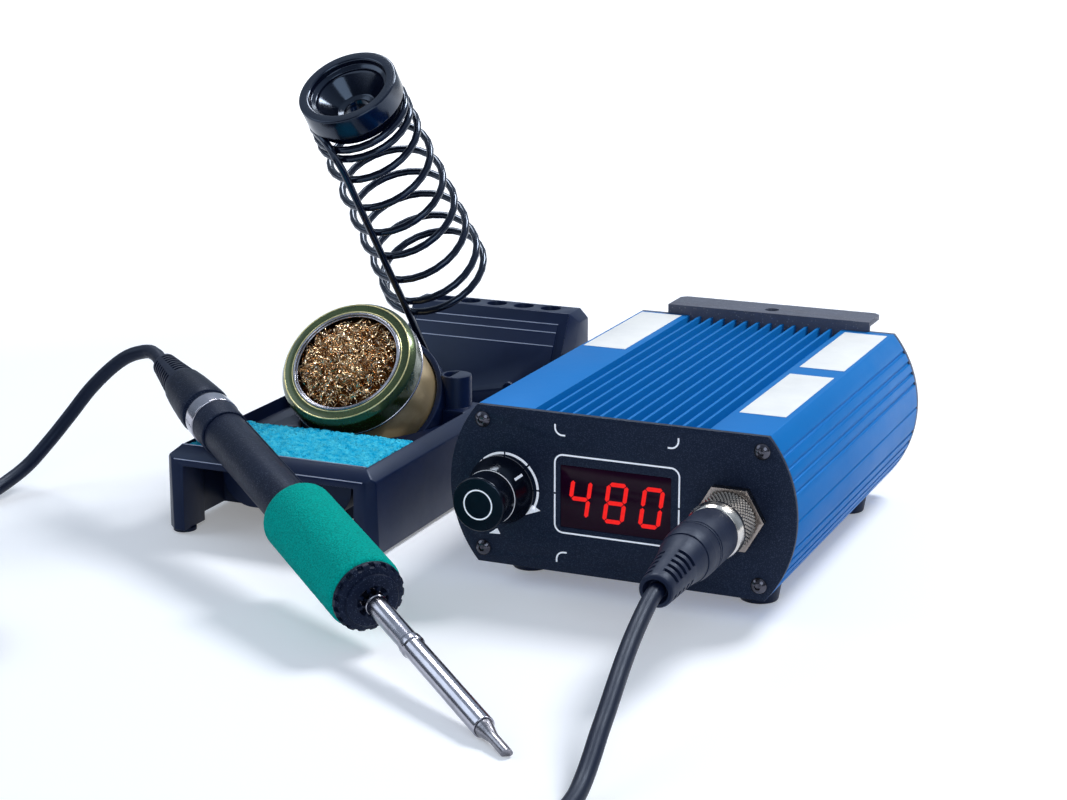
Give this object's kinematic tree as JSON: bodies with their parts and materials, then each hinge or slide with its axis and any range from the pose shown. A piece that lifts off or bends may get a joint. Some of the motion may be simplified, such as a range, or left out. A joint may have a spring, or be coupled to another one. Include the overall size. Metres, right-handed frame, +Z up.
{
  "type": "soldering iron station",
  "caption": "Soldering iron station: fluted controller with display and knob, stand with sponge tray, wool tin and coil holder, and a foam-gripped handset on a cord.",
  "frame": {"origin": "on the table, under the middle of the station's bounding box measured without the cord and its plug", "axes": "+Z up, -Y out of the front panel, +X to the right as seen from the front; the stand is on the -X side"},
  "size_m": [0.3288, 0.4415, 0.1711],
  "materials": {
    "case_blue": "satin",
    "panel_black": "textured",
    "panel_grey": "textured",
    "screw_black": "satin",
    "rubber_black": "matt",
    "display_glass": "clear",
    "plastic_dark": "matt",
    "board_green": "satin",
    "steel": "satin",
    "plastic_white": "satin",
    "plastic_gloss": "gloss",
    "winding_yellow": "satin",
    "aluminium": "satin",
    "nickel": "satin",
    "chrome": "polished",
    "plastic_brown": "satin",
    "fuse_glass": "clear",
    "plastic_red": "gloss",
    "label_white": "matt",
    "stand_black": "moulded",
    "tinplate": "satin",
    "lid_olive": "gloss",
    "brass_wool": "curled shavings",
    "sponge_blue": "open cells",
    "holder_black": "gloss",
    "tip_silver": "satin",
    "steel_bright": "polished",
    "plastic_black": "satin",
    "foam_teal": "foam",
    "cord_black": "satin"
  },
  "bodies": {
    "base": {"upper_shell": "case_blue", "lower_shell": "case_blue", "front_panel": "panel_black", "rear_panel": "panel_grey", "front_screws": "screw_black", "rear_screws": "screw_black", "case_feet": "rubber_black", "display_window": "display_glass", "display_module": "plastic_dark", "control_board": "board_green", "encoder_body": "steel", "encoder_nut": "steel", "power_board": "board_green", "transformer": "winding_yellow", "capacitors": "plastic_dark", "heatsink": "aluminium", "socket_body": "nickel", "socket_nut": "nickel", "plug_shell": "nickel", "plug_sleeve": "plastic_gloss", "plug_relief": "rubber_black", "plug_insert": "plastic_brown", "mains_inlet": "plastic_dark", "rocker_frame": "plastic_dark", "case_labels": "label_white", "stand_base": "stand_black", "tip_rack": "stand_black", "wool_cup": "stand_black", "stand_feet": "rubber_black", "sponge": "sponge_blue", "cord_front": "cord_black", "cord_coil": "cord_black", "cord_rear": "cord_black"},
    "plunger": {"switch_plunger": "plastic_white"},
    "knob": {"knob": "plastic_gloss", "knob_shaft": "steel"},
    "rocker": {"power_rocker": "plastic_red"},
    "fuse_holder": {"fuse_drawer": "plastic_dark", "fuse": "fuse_glass"},
    "coupling": {"coupling_ring": "chrome"},
    "handset": {"tip": "tip_silver", "cartridge": "steel_bright", "foam_grip": "foam_teal", "handle_tube": "plastic_black", "contact_block": "plastic_white", "handle_collar": "plastic_black", "handle_ring": "steel_bright", "handle_cap": "plastic_black", "handset_relief": "rubber_black"},
    "nut": {"front_nut": "plastic_black", "nut_insert": "steel_bright"},
    "tin": {"tin_body": "tinplate", "brass_wool": "brass_wool"},
    "lid": {"tin_lid": "lid_olive"},
    "holder": {"holder_spring": "holder_black", "holder_funnel": "holder_black"}
  },
  "joints": [
    {"name": "knob_push", "type": "slide", "parent": "base", "child": "plunger", "axis": [0, 1, 0], "range_m": [0, 0.0005], "stiffness_N_per_m": 2000, "springref_m": -0.0004},
    {"name": "knob_turn", "type": "hinge", "parent": "plunger", "child": "knob", "pos_m": [0.03235, -0.05159, 0.0356], "axis": [0, 1, 0], "continuous": true},
    {"name": "power_switch", "type": "hinge", "parent": "base", "child": "rocker", "pos_m": [0.10065, 0.11441, 0.034], "axis": [0, 0, 1], "range_deg": [0, 12]},
    {"name": "fuse_drawer_slide", "type": "slide", "parent": "base", "child": "fuse_holder", "axis": [0, 1, 0], "range_m": [0, 0.017]},
    {"name": "coupling_turn", "type": "hinge", "parent": "base", "child": "coupling", "pos_m": [0.11435, -0.05299, 0.0359], "axis": [0, -1, 0], "continuous": true},
    {"name": "handset_lift", "type": "slide", "parent": "base", "child": "handset", "axis": [0.1438, -0.1119, 0.9833], "range_m": [0, 0.06]},
    {"name": "nut_turn", "type": "hinge", "parent": "handset", "child": "nut", "pos_m": [0.01786, -0.11372, 0.0186], "axis": [-0.776, 0.6039, 0.1822], "continuous": true},
    {"name": "tin_lift", "type": "slide", "parent": "base", "child": "tin", "axis": [0, -0.7193, 0.6947], "range_m": [0, 0.035]},
    {"name": "lid_pull", "type": "slide", "parent": "tin", "child": "lid", "axis": [0, -0.7193, 0.6947], "range_m": [0, 0.012]},
    {"name": "holder_lift", "type": "slide", "parent": "base", "child": "holder", "axis": [-0.0604, -0.565, 0.8229], "range_m": [0, 0.025]}
  ]
}
